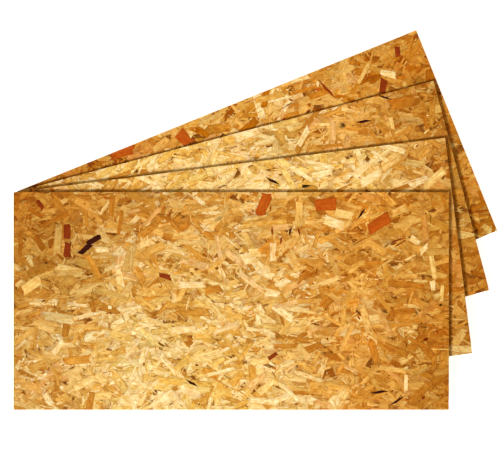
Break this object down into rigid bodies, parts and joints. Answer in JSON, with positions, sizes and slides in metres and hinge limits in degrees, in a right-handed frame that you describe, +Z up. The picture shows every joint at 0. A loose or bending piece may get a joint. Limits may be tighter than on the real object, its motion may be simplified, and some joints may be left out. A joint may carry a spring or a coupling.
{
  "type": "stack of osb panels",
  "caption": "Stack of flat oriented strand board sheets lying face to face, fanned out about one shared corner.",
  "frame": {"origin": "on the floor, under the middle of the box that the whole stack fills", "axes": "+X along the top panel's long edges, +Y across the top panel towards the fanned-out sheets, +Z up through the stack"},
  "size_m": [2.7194, 2.134, 0.048],
  "materials": {
    "osb": "pressed wood strands in straw, honey and amber tones under a dull resin, sawn edges"
  },
  "bodies": {
    "root": {"top_panel": "osb", "second_panel": "osb", "third_panel": "osb", "bottom_panel": "osb"}
  },
  "joints": []
}
